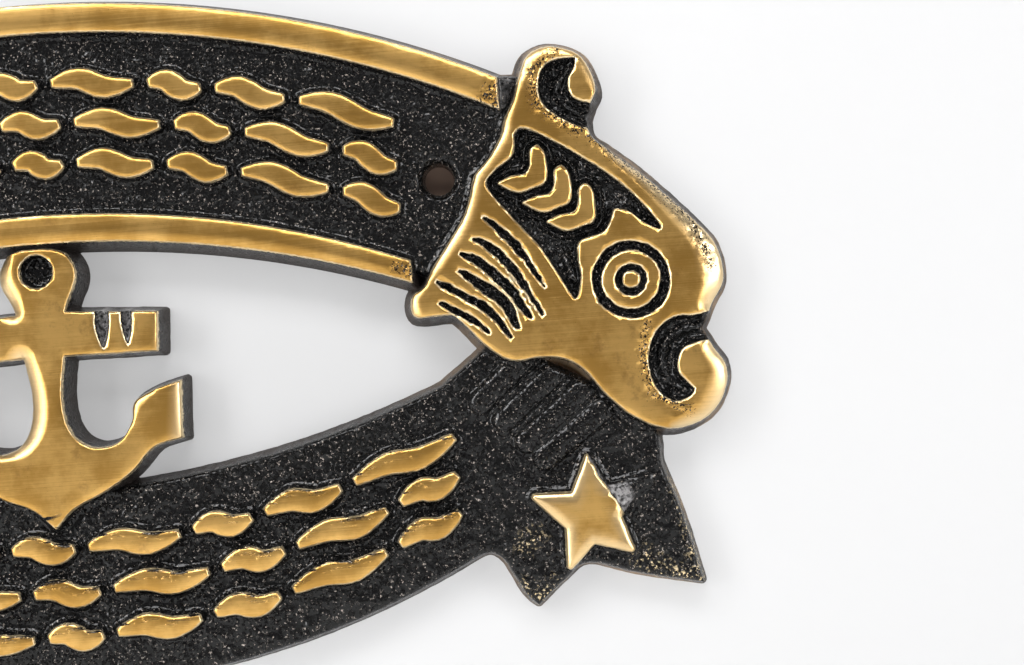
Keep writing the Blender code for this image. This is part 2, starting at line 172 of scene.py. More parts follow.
TAIL_RUNS = [
    [(69.0, -42.0), (71.7, -41.1), (74.0, -42.3), (75.7, -45.2), (77.5, -48.7), (79.4, -50.5)],
    [(79.4, -50.5), (84.0, -46.6), (88.4, -44.0), (96.5, -46.4), (107.4, -48.8)],
    [(107.4, -48.8), (104.8, -37.6), (101.8, -28.4)],
    [(101.8, -28.4), (99.0, -19.0), (76.0, -5.0)],
]
FOLDS = [
    [(72.2, -15.8), (80.0, -9.0)],
    [(76.0, -19.0), (86.2, -10.8)],
    [(79.5, -22.8), (90.0, -14.5)],
    [(82.2, -26.0), (92.5, -18.5)],
]
STAR_CENTRE = (89.3, -35.5)
STAR_CORNERS = [
    (0.1, 9.7), (3.0, 4.0), (9.8, 5.1), (4.6, -0.9), (6.5, -6.8), (0.0, -4.8), (-4.4, -9.0), (-4.2, -2.1),
    (-9.7, 3.5), (-2.9, 3.3),
]

# Rounded flanks that the polishing left on the faces: each point is x, z and the flank's width there, and the
# number before them is how far the flank falls at its outer edge
HEAD_FLANKS = [
    (1.9, [(93.6, 30.4, 0.9), (97.5, 24.4, 1.4), (103.3, 19.5, 2.4), (112.0, 10.3, 4.4), (114.2, 6.2, 5.0),
           (114.5, 1.6, 4.8), (112.2, -2.3, 3.0)]),
    (1.3, [(111.9, -9.4, 2.8), (113.9, -13.0, 3.6), (113.0, -17.6, 3.8), (109.8, -21.2, 3.2),
           (104.5, -22.6, 1.8)]),
    (0.8, [(95.6, 35.2, 1.4), (94.8, 38.5, 2.0), (93.0, 41.3, 1.8), (88.5, 42.9, 1.6), (84.6, 41.8, 2.2),
           (82.7, 38.0, 1.6)]),
    (0.7, [(82.7, 38.0, 1.4), (79.9, 31.5, 1.8), (79.0, 28.6, 2.2), (74.2, 22.4, 2.6), (71.2, 14.6, 2.4),
           (66.2, 7.8, 2.0), (62.4, 3.2, 1.8), (61.8, 1.0, 2.2), (62.8, -0.8, 1.4)]),
]

# Ridges along the floors of the recesses: the height of each, its half width and its line
HEAD_RIDGES = [
    (1.4, 0.7, [(91.1, 38.5), (88.9, 35.3), (91.0, 32.1), (94.5, 30.2)]),
    (1.2, 0.8, [(112.5, -6.0), (107.5, -6.1), (104.3, -7.6), (103.2, -11.2), (104.1, -14.6), (106.4, -16.2)]),
    (0.8, 0.6, [(87.9, 8.6), (89.5, 3.5)]),
]
SEAM_HEIGHT = 0.5
SEAM_HALF_WIDTH = 0.35

# Where the casting is pitted, and where the patina is worn through: lines of x, z and half width
PITTED = [
    [(94.0, 27.0, 2.2), (103.3, 19.5, 2.6), (110.0, 12.0, 2.4), (112.5, 4.0, 1.6)],
    [(89.5, 42.0, 1.6), (85.0, 39.0, 1.8), (85.2, 33.0, 1.8), (92.0, 28.4, 2.4), (94.0, 31.0, 2.6)],
    [(101.0, -4.5, 1.4), (99.8, -10.0, 1.8), (101.0, -16.5, 1.8), (106.5, -19.3, 2.0)],
    [(76.5, 34.5, 2.2), (78.8, 36.5, 3.0), (78.6, 33.0, 3.0)],
    [(60.0, 8.0, 2.0), (62.2, 7.4, 3.0)],
]
WORN = [
    [(103.2, -30.0, 1.2), (105.2, -39.0, 1.5), (107.0, -48.0, 2.2)],
    [(106.5, -48.2, 1.8), (100.0, -46.2, 3.2), (97.0, -43.0, 2.4)],
    [(77.0, -46.5, 1.6), (79.4, -49.6, 2.6), (82.0, -46.5, 1.6)],
    [(78.0, -40.0, 2.6), (80.0, -38.5, 2.2)],
]
# A web of metal between the top rail's end and the head
WEB = [(78.6, 38.6), (82.8, 38.4), (80.6, 33.5), (78.6, 31.6)]
WEB_HEIGHT = 5.5

ANCHOR_FLANKS_BOTH_SIDES = [
    (0.5, [(19.3, -2.9, 1.3), (19.8, 3.9, 1.3)]),
    (1.0, [(22.2, -17.7, 3.0), (22.7, -7.8, 2.4)]),
    (0.6, [(13.7, -14.6, 0.8), (14.4, -11.1, 1.8), (17.5, -9.3, 1.2)]),
]
ANCHOR_FLANKS_LEFT = [
    (1.5, [(-3.7, -2.6, 2.8), (-2.8, -8.4, 3.4), (-3.2, -13.4, 3.4), (-5.0, -16.7, 2.6), (-8.1, -18.1, 1.4)]),
    (1.4, [(-4.6, 5.4, 2.4), (-5.2, 7.1, 3.0), (-6.4, 9.6, 3.2), (-6.6, 12.0, 3.0), (-5.2, 14.6, 1.8)]),
]

# Noise: the size of its bumps, and a number that sets each field apart
CREST_NOISE = (14.0, 1)
SLOW_NOISE = (2.4, 2)
QUICK_NOISE = (1.0, 3)
COARSE_GRAIN = (1.9, 4)
FINE_GRAIN = (0.65, 5)
PIT_GRAIN = (0.6, 6)
GROOVE_GRAIN = (0.7, 7)
# How far wear takes every outline in, and how far it wavers there
EDGE_WEAR = 0.08

# An edge: how far inside the outline the face starts to roll off, and how far it falls
CRISP_EDGE = (0.35, 0.22)
ANCHOR_EDGE = (0.5, 0.25)
STROKE_EDGE = (0.9, 0.30)
STAR_EDGE = (1.9, 0.75)
WORN_EDGE = (0.8, 0.4)
# Faces are crowned, and sink towards a recess: the fall, and how fast it dies away
CROWN_FALL = 0.14
CROWN_REACH = 0.8
LIP_FALL = 0.10
LIP_REACH = 0.5
FLANK_POWER = 1.6
FULL_FLANK_WIDTH = 2.0

# A rail's crest as a share of its width, and the face's fall on each side of it with its curve's power
CREST_SHARE = 0.58
CREST_WAVER = 0.05
FALL_ABOVE_CREST = (0.24, 1.6)
FALL_BELOW_CREST = (0.26, 1.5)

# How far the side of each recess leans out for each millimetre of depth
TOP_SCROLL_LEAN = 0.42
LOW_SCROLL_LEAN = 0.50
CHEVRON_LEAN = 0.25
EYE_LEAN = 0.50
SLASH_LEAN = 0.40
NOTCH_LEAN = 0.6
RING_HOLE_LEAN = 0.15
# How much wider than their outlines the recesses are, and how rough their edges and floors
CHEVRON_GAP = 0.25
SLASH_WIDENING = 0.35
GROOVE_WIDENING = 0.1
EYE_WAVER = 2.2
SLASH_WAVER = 2.4
EYE_ROUGHNESS = 0.10
SLASH_ROUGHNESS = 0.16
FLOOR_ROUGHNESS = 0.30
# The chevrons' field rises in its middle and in a ridge that runs round the chevrons
FIELD_RISE = 0.5
CHEVRON_RIDGE_AWAY = 1.35
CHEVRON_RIDGE_HALF_WIDTH = 0.35

# The rough ground: its grain, the fillet at the foot of each form, and the band's reach under the rails
COARSE_GRAIN_HEIGHT = 0.15
FINE_GRAIN_HEIGHT = 0.20
APRON_HEIGHT = 0.45
APRON_START = 0.5
APRON_WIDTH = 0.9
RAIL_SEAT = 1.6
BAND_HALF_LENGTH = 81.0
JOIN_BLEND = 0.25
PIT_DEPTH = 0.30
HOLE_WALL_HEAD = 3.4

# The star, and the arm that is broken off it: the arm's direction, the break's place, step and tilt
STAR_SCALE = 0.95
STAR_GROWTH = 0.7
ARM_WAY = (0.887, 0.461)
BREAK_PLACE = 5.0
BREAK_WAVER = 6.0
BREAK_STEP = 0.45
BREAK_TILT = 0.18
BREAK_LENGTH = 5.0

# Strength of the grey painted sheen on the web and the notches and of the painted highlight on the star's
# rim, and where dark residue ends
WEB_PAINTED_SHEEN = 0.25
NOTCH_PAINTED_SHEEN = 0.8
STAR_PAINTED_HIGHLIGHT = 0.7
RESIDUE_TOP = -15.0

# How far from a line or outline its distance is worked out, where less than REACH is enough
FLANK_REACH = 6.0
ZONE_REACH = 5.0
NARROW_REACH = 4.0
SMALL_REACH = 3.0
# These keep a division from meeting a zero
THINNEST = 0.01
NO_WIDTH = 1e-9
NO_LENGTH = 1e-12

# The height field's extent, and the gap at which two vertices become one, in metres
GRID_HALF_WIDTH = 117.0
GRID_FOOT = -60.6
GRID_HEAD = 58.9
MERGE_GAP = 0.00002
FACING_BACK = 0.9

DEEP_BRASS = (0.47, 0.258, 0.060, 1.0)
BRIGHT_BRASS = (0.73, 0.440, 0.136, 1.0)
STAINED_BRASS = (0.29, 0.150, 0.045, 1.0)
# Pale brass painted along the rims and flanks as a painted highlight
PAINTED_HIGHLIGHT_BRASS = (0.94, 0.80, 0.53, 1.0)
BLACK_PATINA = (0.002, 0.002, 0.002, 1.0)
GRITTY_PATINA = (0.006, 0.005, 0.005, 1.0)
# Light specks on the black patina that stand in for glints: painted highlights
PAINTED_GLINT_SPECK = (0.40, 0.35, 0.31, 1.0)
CHARCOAL_WALL = (0.026, 0.020, 0.017, 1.0)
WORN_WALL = (0.34, 0.235, 0.145, 1.0)
# Grey painted sheen on the broken arm, the web and the notches, mottled from dark to pale
DARK_PAINTED_SHEEN = (0.02, 0.02, 0.02, 1.0)
PALE_PAINTED_SHEEN = (0.26, 0.25, 0.25, 1.0)

# Patterns: bumps for each metre, octaves, roughness, and the range of noise that shows
GLINTS = (1900.0, 3.0, 0.55, 0.56, 0.66)
GRIT = (1700.0, 2.0, 0.55, 0.50, 0.78)
# Where the light specks, painted glint highlights, show
PAINTED_GLINT_SPECKS = (2300.0, 3.0, 0.7, 0.605, 0.70)
STAINS = (160.0, 5.0, 0.7, 0.57, 0.70)
WORN_PATCHES = (70.0, 5.0, 0.65, 0.42, 0.60)
BOARD_SHADES = (6.0, 2.0, 0.55, 0.3, 0.7)
# Noise drawn out along the sign: bumps for each metre along x, y and z
BRUSHING = (30.0, 400.0, 9000.0)
RESIDUE_STREAKS = (260.0, 400.0, 1500.0)
PIT_SCALE = 1900.0
SMALL_PIT = 0.045
LARGE_PIT = 0.42
EATEN_RANGE = (0.70, 0.76)
BRASS_ROUGHNESS = (0.29, 0.35)
PATINA_ROUGHNESS = (0.16, 0.10)
WALL_ROUGHNESS = 0.55
WALL_METAL = 0.7
BRUSHING_DEPTH = 0.01
BUMP_DISTANCE = 0.00060
SPECULAR_LEVEL = 0.31

# The studio, in metres
ROOM_REACH = 1.5
FLOOR_HEIGHT = -0.13
BACKDROP_HEAD = 1.2
BACKDROP_Y = 0.0004
FLOOR_COLOUR = (0.80, 0.80, 0.79)
BACKDROP_COLOUR = (0.30, 0.30, 0.302)
BOARD_ROUGHNESS = 0.85
BOARD_DIMMING = 0.985
# The backdrop's painted glow, though it is no lamp: lower inside the sign's openings as a painted shadow and
# higher outside it, and the openings' reach and blurred edge
PAINTED_GLOW = (0.95, 1.48)
OPENING_REACH = (0.085, 0.030)
OPENING_EDGE = (0.75, 1.30)
# The backdrop behind a screw hole, painted dark as a painted shadow, and where that painted shadow fades
HOLE_PAINTED_SHADOW = (0.27, 0.18, 0.135, 1.0)
HOLE_PAINTED_SHADOW_EDGE = (0.004, 0.006)
# The air is brighter straight behind the camera: the Y of the direction over which it dims
AIR_BEHIND_CAMERA = (0.28, 0.28, 0.29, 1.0)
AIR_ELSEWHERE = (0.10, 0.10, 0.105, 1.0)
AIR_EDGE = (-0.96, -0.80)
# Name, place, aim, width, height and power of each lamp
LAMPS = (
    ("left_panel", (-0.52, -0.42, 0.20), (0.05, 0.0, 0.0), 0.22, 0.80, 5.2),
    ("right_panel", (0.75, -0.42, 0.05), (0.05, 0.0, 0.0), 0.22, 0.50, 3.0),
    ("top_panel", (0.00, -0.45, 0.58), (0.05, 0.0, 0.0), 0.90, 0.22, 5.6),
    ("back_panel", (0.0, 0.9, 0.5), (0.0, 0.0, 0.0), 1.2, 0.8, 6.0),
)
CAMERA_PLACE = (0.0784, -0.2914, -0.0044)
CAMERA_ROLL = 4.5
CAMERA_LENS = 60.0
CAMERA_SENSOR = 36.0


def edge_height(edge, x):
    """Height of a long edge at x."""
    height, radius = edge
    drop = abs(radius) - math.sqrt(radius * radius - x * x)
    return height - math.copysign(drop, radius)


def screw_height():
    return 0.5 * (edge_height(TOP_RAIL_EDGES[1], SCREW_X) + edge_height(LOW_RAIL_EDGES[0], SCREW_X))


def edge_points(edge, start, end, steps=60):
    spots = [start + (end - start) * step / steps for step in range(steps + 1)]
    return [(x, edge_height(edge, x)) for x in spots]


def smooth(points, steps=5):
    """A smooth open run through the points, with both ends kept."""
    padded = [points[0], *points, points[-1]]
    run = []
    for before, start, end, after in zip(padded, padded[1:], padded[2:], padded[3:]):
        for step in range(steps):
            t = step / steps
            run.append(tuple(
                0.5 * (2 * b + (c - a) * t + (2 * a - 5 * b + 4 * c - d) * t * t
                       + (3 * b - a - 3 * c + d) * t ** 3)
                for a, b, c, d in zip(before, start, end, after)
            ))
    return run + [points[-1]]


def joined(runs):
    """One line of smooth runs, with a corner where two of them meet."""
    points = smooth(runs[0])
    for run in runs[1:]:
        points.extend(smooth(run)[1:])
    return points


def closed(runs):
    return joined(runs)[:-1]


def mirrored(points):
    return [(-x, z) for x, z in reversed(points)]


def spindle(centre_line, width):
    """A stroke that swells to its width in the middle and tapers to both ends."""
    line = smooth(centre_line)
    near, far = [], []
    for index, (x, z) in enumerate(line):
        before = line[max(index - 1, 0)]
        after = line[min(index + 1, len(line) - 1)]
        length = math.dist(before, after)
        half = 0.5 * width * (0.35 + 0.65 * math.sin(math.pi * index / (len(line) - 1)))
        side = ((after[1] - before[1]) / length * half, -(after[0] - before[0]) / length * half)
        near.append((x + side[0], z + side[1]))
        far.append((x - side[0], z - side[1]))
    return near + far[::-1]


def ease(t):
    return t * t * (3 - 2 * t)


def ramp(value, start, end):
    """From 0 at the start to 1 at the end, eased."""
    return ease(np.clip((value - start) / (end - start), 0.0, 1.0))


def nearest_on(x, z, start, end, spare=0.0):
    """The share of a straight run at which it is nearest to each place, and the squared gap there. The spare
    lets the run have no length."""
    along_x, along_z = end[0] - start[0], end[1] - start[1]
    from_x, from_z = x - start[0], z - start[1]
    share = (from_x * along_x + from_z * along_z) / (along_x ** 2 + along_z ** 2 + spare)
    share = np.clip(share, 0.0, 1.0)
    return share, (from_x - share * along_x) ** 2 + (from_z - share * along_z) ** 2


class Grid:
    """The points of the height field, in columns of x and rows of z."""

    def __init__(self, xs, zs):
        self.xs = xs
        self.zs = zs
        self.x, self.z = np.meshgrid(xs, zs, indexing="ij")

    def window(self, points, reach):
        """Slices of the grid that hold every place within reach of the points."""
        corners = np.array([point[:2] for point in points])
        low, high = corners.min(axis=0) - reach, corners.max(axis=0) + reach
        columns = slice(*np.searchsorted(self.xs, (low[0], high[0])))
        rows = slice(*np.searchsorted(self.zs, (low[1], high[1])))
        return columns, rows

    def outline(self, points, reach=REACH):
        """Distance to a closed outline, below zero inside it, and no more than reach outside it."""
        part = self.window(points, reach)
        x, z = self.x[part], self.z[part]
        nearest = np.full(x.shape, reach * reach)
        inside = np.zeros(x.shape, bool)
        for start, end in zip(points, points[1:] + points[:1]):
            _, gap = nearest_on(x, z, start, end, NO_LENGTH)
            nearest = np.minimum(nearest, gap)
            along_x, along_z = end[0] - start[0], end[1] - start[1]
            if along_z:
                crosses = (start[1] > z) != (end[1] > z)
                inside ^= crosses & (x - start[0] < (z - start[1]) * along_x / along_z)
        result = np.full(self.x.shape, reach)
        result[part] = np.where(inside, -1.0, 1.0) * np.sqrt(nearest)
        return result

    def line(self, points, reach=REACH):
        """Distance to an open line of (x, z, value) points, and the value at its nearest place."""
        part = self.window(points, reach)
        x, z = self.x[part], self.z[part]
        nearest = np.full(x.shape, reach * reach)
        value = np.zeros(x.shape)
        for start, end in zip(points, points[1:]):
            share, gap = nearest_on(x, z, start, end)
            value = np.where(gap < nearest, start[2] + (end[2] - start[2]) * share, value)
            nearest = np.minimum(nearest, gap)
        distance = np.full(self.x.shape, reach)
        distance[part] = np.sqrt(nearest)
        values = np.zeros(self.x.shape)
        values[part] = value
        return distance, values

    def from_point(self, centre):
        return np.hypot(self.x - centre[0], self.z - centre[1])

    def over_edge(self, edge):
        """Distance above a long edge, below zero under it."""
        height, radius = edge
        return np.copysign(1.0, radius) * (np.hypot(self.x, self.z - height + radius) - abs(radius))

    def noise(self, size, number):
        """Smooth noise from -1 to 1 with bumps of about the size."""
        random = np.random.default_rng(SEED + number)
        across = (self.x - self.xs[0]) / size
        up = (self.z - self.zs[0]) / size
        lattice = random.uniform(-1.0, 1.0, (int(across.max()) + 3, int(up.max()) + 3))
        column, row = across.astype(int), up.astype(int)
        return between(lattice, column, row, ease(across - column), ease(up - row))

    def sampled(self, field, x, z):
        """The field at free places of the grid."""
        across = np.clip((x - self.xs[0]) / CELL, 0, len(self.xs) - 1.001)
        up = np.clip((z - self.zs[0]) / CELL, 0, len(self.zs) - 1.001)
        column, row = across.astype(int), up.astype(int)
        return between(field, column, row, across - column, up - row)


def between(values, column, row, share_x, share_z):
    """The value at a share of the way from a place to the next column and the next row."""
    low = values[column, row] * (1 - share_x) + values[column + 1, row] * share_x
    high = values[column, row + 1] * (1 - share_x) + values[column + 1, row + 1] * share_x
    return low * (1 - share_z) + high * share_z


def both(right_half):
    """A field over the whole grid from its right half."""
    return np.concatenate([right_half[:0:-1], right_half])


def raised(distance, top, lean, edge=CRISP_EDGE):
    """Height of a form whose face rolls off to a rounded edge and whose wall leans out to the back."""
    roll, fall = edge
    share = np.clip(1 + distance / roll, 0.0, 1.0)
    face = top - fall * (1 - np.sqrt(1 - share * share)) - CROWN_FALL * np.exp(distance / CROWN_REACH)
    wall_top = top - fall - CROWN_FALL
    return np.where(distance < 0, face, wall_top - distance * wall_top / (top * lean))


def with_lip(face, distance):
    """The face, sinking a little towards a recess."""
    return face - LIP_FALL * np.exp(-np.clip(distance, 0.0, None) / LIP_REACH)


def recessed(face, distance, floor, lean):
    """The face with a recess in it that has a lip, leaning sides and a floor."""
    face = with_lip(face, distance)
    bottom = np.maximum(floor, RELIEF - LIP_FALL + distance / lean)
    return np.where(distance < 0, np.minimum(face, bottom), face)


def smooth_max(first, second, blend):
    share = np.clip(0.5 + 0.5 * (first - second) / blend, 0.0, 1.0)
    return second + (first - second) * share + blend * share * (1 - share)


def share_of_width(grid, points, reach):
    """From 1 on a line of (x, z, width) points to 0 at its width, and the width there."""
    distance, width = grid.line(points, reach)
    return np.clip(1 - distance / np.maximum(width, THINNEST), 0.0, 1.0), width


def zone(grid, lines):
    """From 0 to 1 towards the middle of each line's width."""
    strength = np.zeros(grid.x.shape)
    for points in lines:
        share, _ = share_of_width(grid, points, ZONE_REACH)
        strength = np.maximum(strength, share)
    return strength


def ridge(grid, points, height, half_width):
    distance, _ = grid.line([(x, z, 0.0) for x, z in smooth(points)], NARROW_REACH)
    return height * np.exp(-(distance / half_width) ** 2)


def flanks(grid, entries):
    """How far the rounded flanks take a face down."""
    fall = np.zeros(grid.x.shape)
    for depth, points in entries:
        share, width = share_of_width(grid, smooth(points), FLANK_REACH)
        fall = np.maximum(fall, depth * share ** FLANK_POWER * np.clip(width / FULL_FLANK_WIDTH, 0.0, 1.0))
    return fall


def rail(grid, edges, half_length):
    """Distance to a rail's outline, and how far its crowned face falls from its crest."""
    over_top = grid.over_edge(edges[0])
    under_low = -grid.over_edge(edges[1])
    distance = np.maximum(np.maximum(over_top, under_low), np.abs(grid.x) - half_length)
    across = np.clip(over_top / (over_top + under_low - NO_WIDTH), 0.0, 1.0)
    crest = CREST_SHARE + CREST_WAVER * grid.noise(*CREST_NOISE)
    above, above_power = FALL_ABOVE_CREST
    below, below_power = FALL_BELOW_CREST
    fall = np.where(across < crest, above * (1 - across / crest) ** above_power,
                    below * ((across - crest) / (1 - crest)) ** below_power)
    return distance, fall


def stroke_outlines(top_edge, low_edge, margin, half_length):
    """Courses of lying strokes of unlike lengths, which bend like small waves and form no letters."""
    outlines = []
    for course in range(STROKE_COURSES):
        share_up = course / (STROKE_COURSES - 1)
        shares = STROKE_SHARES[2 * course:] + STROKE_SHARES[:2 * course]
        unit = (2 * half_length - STROKE_GAP * (len(shares) - 1)) / sum(shares)
        start = -half_length
        for share in shares:
            line = []
            for step, bend in enumerate((0.0, STROKE_BEND, -STROKE_BEND, 0.0)):
                x = start + share * unit * step / 3
                low = edge_height(low_edge, x) + margin
                top = edge_height(top_edge, x) - margin
                line.append((x, low + (top - low) * share_up + bend))
            outlines.append(spindle(line, STROKE_WIDTH))
            start += share * unit + STROKE_GAP
    return outlines


def head_recesses(half, wobble, rough):
    """The head's recesses, each with its distance, its floor and its side's lean, and the ridges in them."""
    ridges = sum(ridge(half, points, rise, width) for rise, width, points in HEAD_RIDGES)
    recesses = []
    for runs, lean in ((TOP_SCROLL_RUNS, TOP_SCROLL_LEAN), (LOW_SCROLL_RUNS, LOW_SCROLL_LEAN)):
        recesses.append((half.outline(closed(runs)) + wobble, GROUND, lean))
    field = half.outline(closed(CHEVRON_FIELD_RUNS)) + wobble
    to_chevron = np.full(half.x.shape, REACH)
    for x, z in CHEVRON_ELBOWS:
        chevron = half.outline([(x + dx, z + dz) for dx, dz in closed(CHEVRON_RUNS)])
        to_chevron = np.minimum(to_chevron, chevron)
    field = np.maximum(field, CHEVRON_GAP - to_chevron - wobble)
    ridges = ridges + FIELD_RISE * ramp(-field, 0.50, 1.0)
    from_ridge = to_chevron - CHEVRON_RIDGE_AWAY + 2 * wobble
    ridges = ridges + np.exp(-(from_ridge / CHEVRON_RIDGE_HALF_WIDTH) ** 2)
    recesses.append((field, GROUND, CHEVRON_LEAN))
    eye = half.from_point(EYE_CENTRE)
    for outer, inner in EYE_RINGS:
        ring = np.maximum(eye - outer, inner - eye) + EYE_WAVER * wobble - GROOVE_WIDENING
        recesses.append((ring + EYE_ROUGHNESS * rough, GROOVE_FLOOR, EYE_LEAN))
    for width, centre_line in SLASHES:
        slash = half.outline(spindle(centre_line, width + SLASH_WIDENING))
        slash = slash + SLASH_WAVER * wobble - GROOVE_WIDENING
        recesses.append((slash + SLASH_ROUGHNESS * rough, GROOVE_FLOOR, SLASH_LEAN))
    return recesses, ridges


def carve_head(half, wobble):
    """The right-hand head: its outline, its height, the distance to its bare faces' edges, and its flanks."""
    rough = half.noise(*GROOVE_GRAIN)
    outline = half.outline(closed(HEAD_RUNS)) + wobble
    flank = flanks(half, HEAD_FLANKS)
    height = raised(outline, RELIEF, SIDE_LEAN) - flank
    bare = outline.copy()
    recesses, ridges = head_recesses(half, wobble, rough)
    for distance, floor, lean in recesses:
        sunk = np.clip(-distance / lean, 0.0, None)
        depth = RELIEF - floor
        cut = depth * (1 - np.exp(-1.6 * sunk / depth))
        bottom = np.maximum(RELIEF - cut, floor) + ridges * ramp(sunk, 0.6, 1.8)
        bottom = bottom + FLOOR_ROUGHNESS * rough * ramp(sunk, 0.2, 0.9)
        height = with_lip(height, distance)
        height = np.where(distance < 0, np.minimum(height, bottom - LIP_FALL), height)
        bare = np.maximum(bare, -distance)
    return outline, height, bare, flank


def anchor_outline(half, wobble):
    right = joined(ANCHOR_RUNS)
    return both(half.outline(right + mirrored(right)[1:-1])) + wobble


def carve_anchor(grid, half, anchor, wobble, slow):
    """The anchor's height, the distance to its bare faces' edges, its flanks, and how notched it is."""
    flank = both(flanks(half, ANCHOR_FLANKS_BOTH_SIDES))
    flank = np.maximum(flank, flanks(grid, ANCHOR_FLANKS_LEFT))
    face = raised(anchor, RELIEF, ANCHOR_LEAN, ANCHOR_EDGE) - flank
    ring_hole = grid.from_point(RING_HOLE_CENTRE) - RING_HOLE_RADIUS
    face = recessed(face, ring_hole, RING_HOLE_FLOOR + 0.3 * slow, RING_HOLE_LEAN)
    bare = np.maximum(anchor, -ring_hole)
    notched = np.zeros(grid.x.shape)
    for points in STOCK_NOTCHES:
        notch = both(half.outline(closed([points + points[:1]]), SMALL_REACH)) + wobble
        face = recessed(face, notch, GROOVE_FLOOR + 0.4 * slow, NOTCH_LEAN)
        bare = np.maximum(bare, -notch)
        notched = np.maximum(notched, ramp(-notch, 0.1, 0.5))
    return face, bare, flank, notched


def ribbon_outline(half, wobble):
    tail = joined(TAIL_RUNS)
    points = tail + edge_points(RIBBON_EDGES[0], RIBBON_HEAD_HALF_LENGTH, -RIBBON_HEAD_HALF_LENGTH)
    points += mirrored(tail)
    points += edge_points(RIBBON_EDGES[1], -RIBBON_FOOT_HALF_LENGTH, RIBBON_FOOT_HALF_LENGTH)[1:-1]
    return both(half.outline(points)) + wobble


def band_outline(grid):
    """The band's ground, which reaches a little way under both rails."""
    band = np.maximum(grid.over_edge(TOP_RAIL_EDGES[1]), -grid.over_edge(LOW_RAIL_EDGES[0])) - RAIL_SEAT
    return np.maximum(band, np.abs(grid.x) - BAND_HALF_LENGTH)


def stroke_rows(grid, wobble):
    rows = stroke_outlines(TOP_RAIL_EDGES[1], LOW_RAIL_EDGES[0], UPPER_ROW_MARGIN, UPPER_ROW_HALF_LENGTH)
    rows += stroke_outlines(*RIBBON_EDGES, LOWER_ROW_MARGIN, LOWER_ROW_HALF_LENGTH)
    strokes = np.full(grid.x.shape, REACH)
    for points in rows:
        strokes = np.minimum(strokes, grid.outline(points, NARROW_REACH) + wobble)
    return strokes


def star_outline(half, wobble):
    points = [(STAR_CENTRE[0] + STAR_SCALE * x, STAR_CENTRE[1] + STAR_SCALE * z) for x, z in STAR_CORNERS]
    return both(half.outline(points)) - STAR_GROWTH + wobble


def carve_star(grid, star, wobble):
    """The star's height, the distance past the break along its arm, and how far the arm is broken."""
    out, up = np.abs(grid.x) - STAR_CENTRE[0], grid.z - STAR_CENTRE[1]
    past_break = ARM_WAY[0] * out + ARM_WAY[1] * up - BREAK_PLACE + BREAK_WAVER * wobble
    broken = ramp(past_break, -0.1, 0.2)
    step = broken * (BREAK_STEP + BREAK_TILT * np.clip(past_break, 0.0, BREAK_LENGTH))
    return raised(star, RELIEF, SIDE_LEAN, STAR_EDGE) - step, past_break, broken


def folds(half):
    """The rounded pleats of the folds, and the seam between each two."""
    nearest = np.full(half.x.shape, REACH)
    for start, end in FOLDS:
        distance, _ = half.line([(*start, 0.0), (*end, 0.0)], NARROW_REACH)
        nearest = np.minimum(nearest, distance)
    nearest = both(nearest)
    pleats = (FOLD - GROUND) * np.sqrt(np.clip(1 - (nearest / FOLD_REACH) ** 2, 0.0, 1.0))
    for (first, second), (third, fourth) in zip(FOLDS, FOLDS[1:]):
        seam = [tuple(np.add(first, third) / 2), tuple(np.add(second, fourth) / 2)]
        pleats = np.maximum(pleats, both(ridge(half, seam, SEAM_HEIGHT, SEAM_HALF_WIDTH)))
    return pleats


def rough_ground(grid, plate, web, foot, pleats):
    """The rough ground, with a small fillet along the foot of every form that stands on it."""
    grain = COARSE_GRAIN_HEIGHT * grid.noise(*COARSE_GRAIN) + FINE_GRAIN_HEIGHT * grid.noise(*FINE_GRAIN)
    apron = APRON_HEIGHT * np.clip(1 - (foot - APRON_START) / APRON_WIDTH, 0.0, 1.0) ** 2
    grain = grain * ramp(foot, APRON_START, 1.3)
    top = GROUND + np.maximum(grain * (1 - 0.7 * ramp(pleats, 0.0, 0.4)) + pleats, apron)
    plate_edge = raised(plate, GROUND, SIDE_LEAN, WORN_EDGE)
    worn_edge = plate_edge + 0.25 * grain + 2.0 * ramp(-plate, 0.3, 1.2)
    ground = np.where(plate < 0, np.minimum(top, worn_edge), plate_edge)
    return np.maximum(ground, raised(web, WEB_HEIGHT, SIDE_LEAN, WORN_EDGE) + 0.5 * grain)


def drilled(grid, height):
    """The height with both countersunk screw holes through it."""
    screw = np.hypot(np.abs(grid.x) - SCREW_X, grid.z - screw_height())
    cone = GROUND - COUNTERSINK_DEPTH * (COUNTERSINK_RADIUS - screw) / (COUNTERSINK_RADIUS - SCREW_RADIUS)
    height = np.where(screw < COUNTERSINK_RADIUS, np.minimum(height, cone), height)
    hole = (screw - SCREW_RADIUS) / HOLE_LEAN + HOLE_WALL_HEAD
    return np.where(screw < SCREW_RADIUS, np.minimum(height, hole), height)


